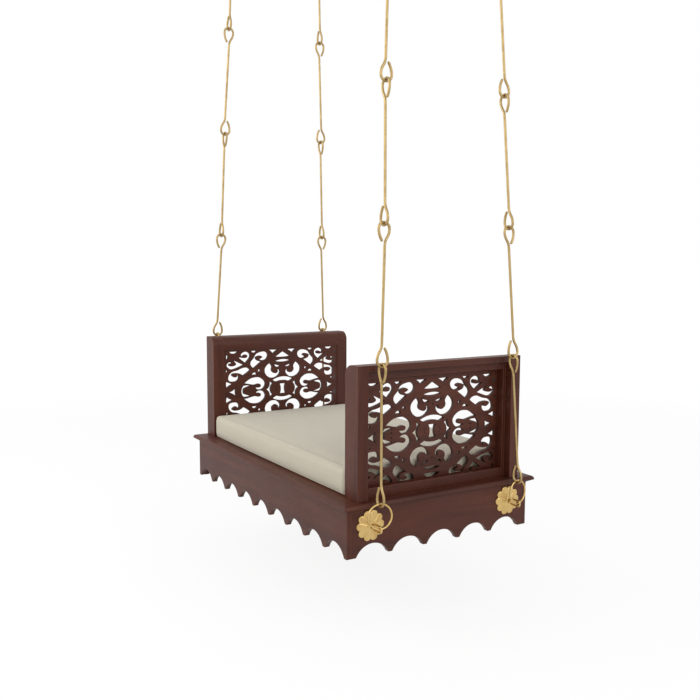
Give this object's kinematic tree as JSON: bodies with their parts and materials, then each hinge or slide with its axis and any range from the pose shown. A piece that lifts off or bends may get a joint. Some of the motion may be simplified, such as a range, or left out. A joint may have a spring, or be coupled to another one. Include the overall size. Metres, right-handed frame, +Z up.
{
  "type": "jhoola swing",
  "caption": "Carved wooden jhoola swing seat with pierced end panels and a cushion, hung from ceiling hooks on brass rod-link chains.",
  "frame": {"origin": "centre of the ceiling plane, between the four ceiling studs", "axes": "+Z up along the studs, +X along the seat's length to its right-hand end, -Y to the front"},
  "size_m": [1.5178, 0.844, 2.6673],
  "materials": {
    "polished_wood": "satin polished dark reddish brown",
    "brass": "polished",
    "steel": "zinc plated",
    "cushion_fabric": "matt cream cotton"
  },
  "bodies": {
    "ceiling": {"ceiling_hooks": "brass"},
    "chain_front_left": {"chain_link_front_left_1": "brass", "chain_link_front_left_2": "brass", "chain_link_front_left_3": "brass", "chain_link_front_left_4": "brass", "chain_link_front_left_5": "brass"},
    "chain_front_right": {"chain_link_front_right_1": "brass", "chain_link_front_right_2": "brass", "chain_link_front_right_3": "brass", "chain_link_front_right_4": "brass", "chain_link_front_right_5": "brass"},
    "chain_rear_left": {"chain_link_rear_left_1": "brass", "chain_link_rear_left_2": "brass", "chain_link_rear_left_3": "brass", "chain_link_rear_left_4": "brass", "chain_link_rear_left_5": "brass"},
    "chain_rear_right": {"chain_link_rear_right_1": "brass", "chain_link_rear_right_2": "brass", "chain_link_rear_right_3": "brass", "chain_link_rear_right_4": "brass", "chain_link_rear_right_5": "brass"},
    "ring_front_left": {"ring_front_left": "brass"},
    "ring_front_right": {"ring_front_right": "brass"},
    "ring_rear_left": {"ring_rear_left": "brass"},
    "ring_rear_right": {"ring_rear_right": "brass"},
    "seat": {"apron_front": "polished_wood", "apron_rear": "polished_wood", "apron_left": "polished_wood", "apron_right": "polished_wood", "ledge_front": "polished_wood", "ledge_rear": "polished_wood", "ledge_left": "polished_wood", "ledge_right": "polished_wood", "deck_panel": "polished_wood", "end_bearer_left": "polished_wood", "end_bearer_right": "polished_wood", "middle_bearers": "polished_wood", "corner_blocks": "polished_wood", "post_front_left": "polished_wood", "post_rear_left": "polished_wood", "top_rail_left": "polished_wood", "bottom_rail_left": "polished_wood", "jaali_left": "polished_wood", "post_front_right": "polished_wood", "post_rear_right": "polished_wood", "top_rail_right": "polished_wood", "bottom_rail_right": "polished_wood", "jaali_right": "polished_wood", "rosette_front_left": "brass", "rosette_front_right": "brass", "rosette_rear_left": "brass", "rosette_rear_right": "brass", "eye_bolt_front_left": "brass", "eye_bolt_front_right": "brass", "eye_bolt_rear_left": "brass", "eye_bolt_rear_right": "brass", "eye_nuts_and_washers": "steel", "panel_bolts": "steel"},
    "cushion": {"cushion": "cushion_fabric"}
  },
  "joints": [
    {"name": "sway_front_left", "type": "hinge", "parent": "ceiling", "child": "chain_front_left", "pos_m": [-0.634, -0.22, -0.07895], "axis": [1, 0, 0], "range_deg": [-15, 15]},
    {"name": "sway_front_right", "type": "hinge", "parent": "ceiling", "child": "chain_front_right", "pos_m": [0.634, -0.22, -0.07895], "axis": [1, 0, 0], "range_deg": [-15, 15]},
    {"name": "sway_rear_left", "type": "hinge", "parent": "ceiling", "child": "chain_rear_left", "pos_m": [-0.634, 0.22, -0.07895], "axis": [1, 0, 0], "range_deg": [-15, 15]},
    {"name": "sway_rear_right", "type": "hinge", "parent": "ceiling", "child": "chain_rear_right", "pos_m": [0.634, 0.22, -0.07895], "axis": [1, 0, 0], "range_deg": [-15, 15]},
    {"name": "seat_tilt", "type": "hinge", "parent": "chain_front_left", "child": "seat", "pos_m": [-0.737, -0.306, -2.49032], "axis": [1, 0, 0], "range_deg": [-11, 11]},
    {"name": "ring_swivel_front_left", "type": "hinge", "parent": "chain_front_left", "child": "ring_front_left", "pos_m": [-0.737, -0.306, -2.49032], "axis": [0.0426, 0.0356, 0.9985], "range_deg": [-12, 12]},
    {"name": "ring_swivel_front_right", "type": "hinge", "parent": "chain_front_right", "child": "ring_front_right", "pos_m": [0.737, -0.306, -2.49032], "axis": [-0.0426, 0.0356, 0.9985], "range_deg": [-12, 12]},
    {"name": "ring_swivel_rear_left", "type": "hinge", "parent": "chain_rear_left", "child": "ring_rear_left", "pos_m": [-0.737, 0.306, -2.49032], "axis": [0.0426, -0.0356, 0.9985], "range_deg": [-12, 12]},
    {"name": "ring_swivel_rear_right", "type": "hinge", "parent": "chain_rear_right", "child": "ring_rear_right", "pos_m": [0.737, 0.306, -2.49032], "axis": [-0.0426, -0.0356, 0.9985], "range_deg": [-12, 12]},
    {"name": "cushion_lift", "type": "slide", "parent": "seat", "child": "cushion", "axis": [0, 0, 1], "range_m": [0, 0.4]}
  ],
  "couplings": [
    {"joint": "sway_front_right", "follows": "sway_front_left", "ratio": 1},
    {"joint": "sway_rear_left", "follows": "sway_front_left", "ratio": 1},
    {"joint": "sway_rear_right", "follows": "sway_front_left", "ratio": 1},
    {"joint": "seat_tilt", "follows": "sway_front_left", "ratio": -0.715}
  ]
}
